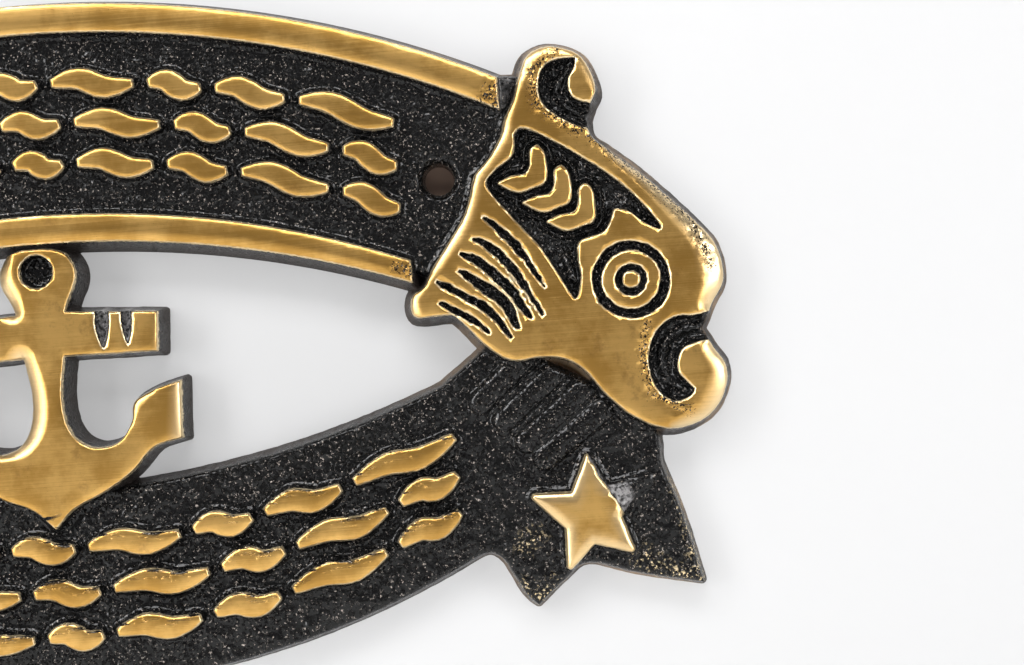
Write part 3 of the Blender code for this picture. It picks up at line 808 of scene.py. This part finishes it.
def relief(grid, half):
    """The whole front: its height, and the fields that the material reads."""
    slow = 0.5 * grid.noise(*SLOW_NOISE) + 0.5 * grid.noise(*QUICK_NOISE)
    wobble = EDGE_WEAR + EDGE_WEAR * slow
    half_wobble = wobble[len(grid.xs) // 2:]

    top_rail, top_fall = rail(grid, TOP_RAIL_EDGES, TOP_RAIL_HALF_LENGTH)
    low_rail, low_fall = rail(grid, LOW_RAIL_EDGES, LOW_RAIL_HALF_LENGTH)
    head, head_height, head_bare, head_flank = (both(field) for field in carve_head(half, half_wobble))
    anchor = anchor_outline(half, wobble)
    anchor_face, anchor_bare, anchor_flank, notched = carve_anchor(grid, half, anchor, wobble, slow)
    star = star_outline(half, wobble)
    star_face, past_break, broken = carve_star(grid, star, wobble)
    strokes = stroke_rows(grid, wobble)

    plate = np.minimum(band_outline(grid), ribbon_outline(half, wobble))
    web = both(half.outline(WEB, SMALL_REACH)) + wobble
    foot = np.minimum.reduce([top_rail, low_rail, head, anchor, star, strokes])
    ground = rough_ground(grid, plate, web, foot, folds(half))

    forms = np.maximum.reduce([
        raised(top_rail, RELIEF, SIDE_LEAN) - top_fall * (top_rail < 0),
        raised(low_rail, RELIEF, SIDE_LEAN) - low_fall * (low_rail < 0),
        head_height, raised(strokes, RELIEF, SIDE_LEAN, STROKE_EDGE), star_face, anchor_face,
    ])
    pitted = both(zone(half, PITTED))
    forms = forms - PIT_DEPTH * pitted * np.clip(grid.noise(*PIT_GRAIN) + 0.2, 0.0, 1.0)
    height = smooth_max(ground, forms, JOIN_BLEND) - 0.06
    height = np.maximum(height, np.maximum(ground, forms) - 0.2)

    # A painted highlight that makes the star paler towards its rim
    star_painted_highlight = STAR_PAINTED_HIGHLIGHT * (star < 0) * ramp(star, -2.6, -0.4)
    # A grey painted sheen on the broken arm's face past the break
    break_painted_sheen = broken * ramp(3.6 - past_break, 0.0, 1.2) * (star < -0.2)
    star_bare = np.maximum(star, past_break)
    bare = np.minimum.reduce([top_rail, low_rail, head_bare, strokes, star_bare, anchor_bare])
    wall = np.minimum.reduce([top_rail, low_rail, head, anchor, plate, web])
    upper_edge = np.gradient(strokes, CELL, axis=1) > 0.5
    return drilled(grid, height), {
        "edge_distance": np.clip(bare, -3.0, 3.0),
        # A grey painted sheen on the broken arm, the web and the notches
        "painted_sheen": np.maximum.reduce([break_painted_sheen, WEB_PAINTED_SHEEN * (web < 0), NOTCH_PAINTED_SHEEN * notched]),
        # The flank field also paints the brass paler on the flanks and towards the star's rim: a painted
        # highlight
        "flank": np.clip(np.maximum.reduce([head_flank, anchor_flank, star_painted_highlight]), 0.0, 1.0),
        "pitted": pitted,
        "wall": ramp(wall, 0.05, 0.30),
        "worn": both(zone(half, WORN)),
        "residue": ramp(strokes, -1.6, -0.2) * upper_edge * (grid.z < RESIDUE_TOP),
    }


def relief_mesh(grid, height):
    """Vertices and faces of the height field, cut where it meets the back plane."""
    inside = height > 0
    number = np.full(height.shape, -1)
    number[inside] = np.arange(inside.sum())
    columns, rows = np.nonzero(inside)
    vertices = np.stack([grid.xs[columns], -height[inside], grid.zs[rows]], axis=1)

    cells = inside[:-1, :-1].astype(int) + inside[1:, :-1] + inside[1:, 1:] + inside[:-1, 1:]
    i, j = np.nonzero(cells == 4)
    corners = [number[i, j], number[i + 1, j], number[i + 1, j + 1], number[i, j + 1]]
    faces = np.stack(corners, axis=1).tolist()

    cut_number = {}
    cuts = []

    def cut(first, last):
        """The vertex where an edge of the grid meets the back plane."""
        key = (min(first, last), max(first, last))
        if key not in cut_number:
            share = height[first] / (height[first] - height[last])
            cut_number[key] = len(vertices) + len(cuts)
            cuts.append((
                grid.xs[first[0]] + (grid.xs[last[0]] - grid.xs[first[0]]) * share,
                0.0,
                grid.zs[first[1]] + (grid.zs[last[1]] - grid.zs[first[1]]) * share,
            ))
        return cut_number[key]

    for i, j in zip(*np.nonzero((cells > 0) & (cells < 4))):
        corners = [(i, j), (i + 1, j), (i + 1, j + 1), (i, j + 1)]
        face = []
        for first, last in zip(corners, corners[1:] + corners[:1]):
            if inside[first]:
                face.append(int(number[first]))
            if inside[first] != inside[last]:
                face.append(cut(first, last))
        faces.append(face)
    return np.concatenate([vertices, np.array(cuts)]) * MILLIMETRE, faces


def placed(name, data):
    """A new object in the scene."""
    obj = bpy.data.objects.new(name, data)
    bpy.context.scene.collection.objects.link(obj)
    return obj


def closed_solid(name, vertices, faces):
    """An object from an open relief, with a flat back over its rim."""
    mesh = bpy.data.meshes.new(name)
    mesh.from_pydata(vertices.tolist(), [], faces)
    work = bmesh.new()
    work.from_mesh(mesh)
    bmesh.ops.remove_doubles(work, verts=work.verts, dist=MERGE_GAP)
    rim = [edge for edge in work.edges if edge.is_boundary]
    bmesh.ops.triangle_fill(work, use_beauty=True, use_dissolve=False, edges=rim, normal=Vector((0, 1, 0)))
    bmesh.ops.recalc_face_normals(work, faces=work.faces)
    bmesh.ops.triangulate(work, faces=work.faces)
    work.to_mesh(mesh)
    work.free()
    return placed(name, mesh)


def lighten(obj, triangles):
    """Fewer triangles where the surface is plain, with none of them pushed past the flat back."""
    total = len(obj.data.polygons)
    if total <= triangles:
        return
    modifier = obj.modifiers.new("fewer", "DECIMATE")
    modifier.ratio = triangles / total
    graph = bpy.context.evaluated_depsgraph_get()
    mesh = bpy.data.meshes.new_from_object(obj.evaluated_get(graph))
    for vertex in mesh.vertices:
        vertex.co.y = min(vertex.co.y, 0.0)
    obj.modifiers.clear()
    obj.data = mesh


def numbers(items, name, width, kind=np.float32):
    """One value or row of values for each of a mesh's items."""
    values = np.empty(len(items) * width, kind)
    items.foreach_get(name, values)
    return values.reshape(-1, width) if width > 1 else values


def smooth_shading(obj, grid, height):
    """Normals taken from the height field itself, so that long triangles beside small ones don't streak."""
    mesh = obj.data
    mesh.shade_smooth()
    places = numbers(mesh.vertices, "co", 3) / MILLIMETRE
    slopes = np.gradient(height, CELL)
    slope_x, slope_z = (grid.sampled(slope, places[:, 0], places[:, 2]) for slope in slopes)
    normals = np.stack([-slope_x, -np.ones(len(places)), -slope_z], axis=1)
    normals /= np.linalg.norm(normals, axis=1, keepdims=True)
    corner_normals = normals[numbers(mesh.loops, "vertex_index", 1, np.int32)]
    facing = numbers(mesh.polygons, "normal", 3)
    corner_normals[np.repeat(facing[:, 1] > FACING_BACK, 3)] = (0.0, 1.0, 0.0)
    mesh.normals_split_custom_set(corner_normals.tolist())


def store_fields(obj, grid, fields):
    mesh = obj.data
    places = numbers(mesh.vertices, "co", 3) / MILLIMETRE
    for name, field in fields.items():
        attribute = mesh.attributes.new(name, "FLOAT", "POINT")
        values = grid.sampled(field, places[:, 0], places[:, 2])
        attribute.data.foreach_set("value", values.astype(np.float32))


class Shader:
    """Short ways to build a material's nodes."""

    def __init__(self, name):
        self.material = bpy.data.materials.new(name)
        self.material.use_nodes = True
        self.nodes = self.material.node_tree.nodes
        self.links = self.material.node_tree.links
        self.surface = self.nodes["Principled BSDF"]

    def add(self, kind, **settings):
        node = self.nodes.new(kind)
        for name, value in settings.items():
            setattr(node, name, value)
        return node

    def feed(self, socket, value):
        if isinstance(value, bpy.types.NodeSocket):
            self.links.new(value, socket)
        else:
            socket.default_value = value

    def paint(self, name, value):
        self.feed(self.surface.inputs[name], value)

    def places(self, scale=(1.0, 1.0, 1.0)):
        """Places on the object, stretched by a scale for each axis."""
        coordinates = self.add("ShaderNodeTexCoord")
        mapping = self.add("ShaderNodeMapping")
        self.links.new(coordinates.outputs["Object"], mapping.inputs["Vector"])
        mapping.inputs["Scale"].default_value = scale
        return mapping.outputs["Vector"]

    def position(self):
        """The place on the object as its X, Y and Z."""
        node = self.add("ShaderNodeSeparateXYZ")
        self.links.new(self.places(), node.inputs["Vector"])
        return node.outputs

    def noise(self, scale, detail, stretch=(1.0, 1.0, 1.0), roughness=0.55):
        node = self.add("ShaderNodeTexNoise")
        self.links.new(self.places(stretch), node.inputs["Vector"])
        for name, value in (("Scale", scale), ("Detail", detail), ("Roughness", roughness)):
            node.inputs[name].default_value = value
        return node.outputs["Fac"]

    def field(self, name):
        return self.add("ShaderNodeAttribute", attribute_name=name).outputs["Fac"]

    def math(self, operation, first, second=0.0, third=0.0, clamp=False):
        node = self.add("ShaderNodeMath", operation=operation, use_clamp=clamp)
        for socket, value in zip(node.inputs, (first, second, third)):
            self.feed(socket, value)
        return node.outputs["Value"]

    def plus(self, first, second):
        return self.math("ADD", first, second)

    def minus(self, first, second, clamp=False):
        return self.math("SUBTRACT", first, second, clamp=clamp)

    def times(self, first, second, clamp=False):
        return self.math("MULTIPLY", first, second, clamp=clamp)

    def larger(self, first, second):
        return self.math("MAXIMUM", first, second)

    def hypot(self, first, second):
        squares = self.math("MULTIPLY_ADD", first, first, self.times(second, second))
        return self.math("SQRT", squares)

    def spread(self, value, from_low, from_high, to_low=0.0, to_high=1.0):
        node = self.add("ShaderNodeMapRange", interpolation_type="SMOOTHSTEP")
        names = ("Value", "From Min", "From Max", "To Min", "To Max")
        for name, entry in zip(names, (value, from_low, from_high, to_low, to_high)):
            self.feed(node.inputs[name], entry)
        return node.outputs["Result"]

    def pattern(self, scale, detail, roughness, low, high):
        """Patches of noise, from 0 at the low end of a range to 1 at the high end."""
        return self.spread(self.noise(scale, detail, roughness=roughness), low, high)

    def mix(self, share, first, second, kind="RGBA", sockets=(6, 7, 2)):
        """A colour between two colours. The sockets are those of its kind: both inputs and the output."""
        node = self.add("ShaderNodeMix", data_type=kind)
        for socket, value in zip(("Factor", *sockets[:2]), (share, first, second)):
            self.feed(node.inputs[socket], value)
        return node.outputs[sockets[2]]

    def blend(self, share, first, second):
        """A number between two numbers."""
        return self.mix(share, first, second, "FLOAT", (2, 3, 0))

    def bump(self, height, distance):
        node = self.add("ShaderNodeBump")
        self.feed(node.inputs["Height"], height)
        node.inputs["Distance"].default_value = distance
        node.inputs["Strength"].default_value = 1.0
        return node.outputs["Normal"]


def patina_share(shader, ragged, edge):
    """From 0 on bare brass to 1 under patina, which fills pits, lies as residue and is worn off in glints."""
    patina = shader.spread(edge, -0.04, 0.10)
    spots = shader.add("ShaderNodeTexVoronoi")
    shader.links.new(shader.places(), spots.inputs["Vector"])
    spots.inputs["Scale"].default_value = PIT_SCALE
    pit_size = shader.times(shader.field("pitted"), shader.spread(ragged, 0.40, 0.62))
    pit_size = shader.plus(shader.times(pit_size, LARGE_PIT), SMALL_PIT)
    pits = shader.math("LESS_THAN", spots.outputs["Distance"], pit_size)
    eaten = shader.plus(shader.noise(2600.0, 3.0, roughness=0.7), shader.times(shader.field("pitted"), 0.24))
    pits = shader.larger(pits, shader.spread(eaten, *EATEN_RANGE))
    streaks = shader.spread(shader.noise(1.0, 3.0, RESIDUE_STREAKS), 0.50, 0.60)
    streaks = shader.times(streaks, shader.field("residue"))
    glints = shader.times(shader.pattern(*GLINTS), shader.field("worn"), clamp=True)
    patina = shader.larger(shader.larger(patina, pits), streaks)
    return shader.minus(patina, glints, clamp=True)


def brass_colour(shader, brushing, edge):
    """Clouded and stained brass, painted pale along its rims and flanks as a painted highlight."""
    cloud = shader.noise(90.0, 5.0, roughness=0.65)
    tone = shader.plus(shader.times(brushing, 0.2), shader.times(cloud, 0.8))
    brass = shader.mix(shader.spread(tone, 0.38, 0.62), DEEP_BRASS, BRIGHT_BRASS)
    brass = shader.mix(shader.times(shader.pattern(*STAINS), 0.45), brass, STAINED_BRASS)
    # Painted highlight: paler brass along the rims, on the flanks and towards the star's rim
    rim = shader.times(shader.spread(edge, -0.32, -0.08), 0.75)
    flank = shader.times(shader.field("flank"), 0.6)
    return shader.mix(shader.larger(rim, flank), brass, PAINTED_HIGHLIGHT_BRASS)


def patina_colour(shader, ragged, grit, side_wall, worn_wall):
    """Black patina with light specks that stand in for glints as painted highlights, charcoal or worn brown
    walls, and a grey painted sheen where metal broke away, on the web and in the notches.
    """
    black = shader.mix(grit, BLACK_PATINA, GRITTY_PATINA)
    # Light specks painted on the black as glints: painted highlights
    black = shader.mix(shader.pattern(*PAINTED_GLINT_SPECKS), black, PAINTED_GLINT_SPECK)
    black = shader.mix(side_wall, black, shader.mix(worn_wall, CHARCOAL_WALL, WORN_WALL))
    # Grey painted sheen for the broken arm, the web and the notches
    grey = shader.mix(shader.spread(ragged, 0.35, 0.60), DARK_PAINTED_SHEEN, PALE_PAINTED_SHEEN)
    return shader.mix(shader.field("painted_sheen"), black, grey)


def antique_brass():
    """Brushed brass on the faces and glossy black patina on all that lies lower."""
    shader = Shader("antique_brass_relief")
    ragged = shader.noise(1400.0, 4.0)
    edge = shader.plus(shader.field("edge_distance"), shader.times(shader.minus(ragged, 0.5), 0.30))
    patina = patina_share(shader, ragged, edge)
    brushing = shader.noise(1.0, 1.0, BRUSHING)
    brass = brass_colour(shader, brushing, edge)
    grit = shader.pattern(*GRIT)
    side_wall = shader.field("wall")
    near_end = shader.spread(shader.math("ABSOLUTE", shader.position()["X"]), 0.050, 0.095)
    worn_wall = shader.times(shader.pattern(*WORN_PATCHES), near_end)
    black = patina_colour(shader, ragged, grit, side_wall, worn_wall)
    shader.paint("Base Color", shader.mix(patina, brass, black))

    wall_metal = shader.times(shader.times(worn_wall, side_wall), WALL_METAL)
    shader.paint("Metallic", shader.blend(patina, 1.0, wall_metal))
    brass_rough = shader.spread(brushing, 0.25, 0.75, *BRASS_ROUGHNESS)
    black_rough = shader.blend(side_wall, shader.spread(grit, 0.0, 1.0, *PATINA_ROUGHNESS), WALL_ROUGHNESS)
    shader.paint("Roughness", shader.blend(patina, brass_rough, black_rough))
    fine = shader.blend(patina, shader.times(brushing, BRUSHING_DEPTH), grit)
    shader.paint("Normal", shader.bump(fine, BUMP_DISTANCE))
    shader.paint("Specular IOR Level", SPECULAR_LEVEL)
    return shader.material


def board_shader(name, colour):
    """Smooth pale board for the studio, and its tint."""
    shader = Shader(name)
    dimmed = tuple(BOARD_DIMMING * part for part in colour)
    tint = shader.mix(shader.pattern(*BOARD_SHADES), (*colour, 1.0), (*dimmed, 1.0))
    shader.paint("Base Color", tint)
    shader.paint("Roughness", BOARD_ROUGHNESS)
    return shader, tint


def backdrop_material():
    """Board that glows a little as painted light, less in the sign's openings as a painted shadow and not at
    all behind the screw holes, where it is painted dark as a painted shadow. It can't be seen from behind."""
    shader, tint = board_shader("pale_backdrop", BACKDROP_COLOUR)
    place = shader.position()
    aside = shader.minus(shader.math("ABSOLUTE", place["X"]), SCREW_X * MILLIMETRE)
    above = shader.minus(place["Z"], screw_height() * MILLIMETRE)
    # Painted shadow: behind each screw hole the backdrop is painted dark and doesn't glow
    clear_of_hole = shader.spread(shader.hypot(aside, above), *HOLE_PAINTED_SHADOW_EDGE)
    wide = shader.times(place["X"], 1 / OPENING_REACH[0])
    high = shader.times(place["Z"], 1 / OPENING_REACH[1])
    # Painted light: the backdrop glows, and glows less in the sign's openings as a painted shadow
    painted_glow = shader.spread(shader.hypot(wide, high), *OPENING_EDGE, *PAINTED_GLOW)
    shader.paint("Base Color", shader.mix(clear_of_hole, HOLE_PAINTED_SHADOW, tint))
    shader.paint("Emission Color", tint)
    shader.paint("Emission Strength", shader.times(painted_glow, clear_of_hole))

    clear = shader.add("ShaderNodeBsdfTransparent")
    geometry = shader.add("ShaderNodeNewGeometry")
    chooser = shader.add("ShaderNodeMixShader")
    shader.links.new(geometry.outputs["Backfacing"], chooser.inputs["Fac"])
    shader.links.new(shader.surface.outputs["BSDF"], chooser.inputs[1])
    shader.links.new(clear.outputs["BSDF"], chooser.inputs[2])
    shader.links.new(chooser.outputs["Shader"], shader.nodes["Material Output"].inputs["Surface"])
    return shader.material


def board(name, corners, material):
    mesh = bpy.data.meshes.new(name)
    mesh.from_pydata(corners, [], [tuple(range(len(corners)))])
    mesh.materials.append(material)
    obj = placed(name, mesh)
    return obj


def boards():
    """The pale floor, and the backdrop close behind the sign."""
    across = (-ROOM_REACH, ROOM_REACH, ROOM_REACH, -ROOM_REACH)
    deep = (-ROOM_REACH, -ROOM_REACH, ROOM_REACH, ROOM_REACH)
    high = (FLOOR_HEIGHT, FLOOR_HEIGHT, BACKDROP_HEAD, BACKDROP_HEAD)
    floor, _ = board_shader("pale_floor", FLOOR_COLOUR)
    board("floor", [(x, y, FLOOR_HEIGHT) for x, y in zip(across, deep)], floor.material)
    backdrop = board("backdrop", [(x, BACKDROP_Y, z) for x, z in zip(across, high)], backdrop_material())
    backdrop.visible_shadow = False


def air():
    """Dim surroundings with a brighter patch behind the camera, for the metal to reflect."""
    world = bpy.data.worlds.new("studio_air")
    bpy.context.scene.world = world
    world.use_nodes = True
    nodes, links = world.node_tree.nodes, world.node_tree.links
    direction = nodes.new("ShaderNodeTexCoord")
    parts = nodes.new("ShaderNodeSeparateXYZ")
    links.new(direction.outputs["Generated"], parts.inputs["Vector"])
    shade = nodes.new("ShaderNodeValToRGB")
    shade.color_ramp.interpolation = "EASE"
    shade.color_ramp.elements[0].color = AIR_BEHIND_CAMERA
    shade.color_ramp.elements[1].color = AIR_ELSEWHERE
    spread = nodes.new("ShaderNodeMapRange")
    spread.inputs["From Min"].default_value, spread.inputs["From Max"].default_value = AIR_EDGE
    links.new(parts.outputs["Y"], spread.inputs["Value"])
    links.new(spread.outputs["Result"], shade.inputs["Fac"])
    links.new(shade.outputs["Color"], nodes["Background"].inputs["Color"])
    nodes["Background"].inputs["Strength"].default_value = 1.0


def lamps():
    for name, place, aim, width, height, power in LAMPS:
        data = bpy.data.lights.new(name, "AREA")
        data.shape = "RECTANGLE"
        data.size = width
        data.size_y = height
        data.energy = power
        obj = placed(name, data)
        obj.location = place
        obj.rotation_euler = (Vector(aim) - Vector(place)).to_track_quat("-Z", "Y").to_euler()


def camera():
    """A camera that looks straight at the sign, rolled as the photo is."""
    data = bpy.data.cameras.new("camera")
    data.lens = CAMERA_LENS
    data.sensor_width = CAMERA_SENSOR
    turn = math.radians(CAMERA_ROLL)
    obj = placed("camera", data)
    obj.matrix_world = Matrix((
        (math.cos(turn), math.sin(turn), 0.0, CAMERA_PLACE[0]),
        (0.0, 0.0, -1.0, CAMERA_PLACE[1]),
        (-math.sin(turn), math.cos(turn), 0.0, CAMERA_PLACE[2]),
        (0.0, 0.0, 0.0, 1.0),
    ))
    bpy.context.scene.camera = obj
    bpy.context.scene.view_settings.view_transform = "Standard"


def sign():
    half_columns = int(math.ceil(GRID_HALF_WIDTH / CELL))
    xs = np.arange(-half_columns, half_columns + 1) * CELL
    zs = np.arange(GRID_FOOT, GRID_HEAD, CELL)
    grid = Grid(xs, zs)
    half = Grid(xs[half_columns:], zs)
    height, fields = relief(grid, half)
    obj = closed_solid("sign_relief", *relief_mesh(grid, height))
    lighten(obj, TRIANGLES)
    smooth_shading(obj, grid, height)
    store_fields(obj, grid, fields)
    obj.data.materials.clear()
    obj.data.materials.append(antique_brass())
    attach(obj, "root")
    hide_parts("sign_casting")


def main():
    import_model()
    sign()
    boards()
    air()
    lamps()
    camera()


main()
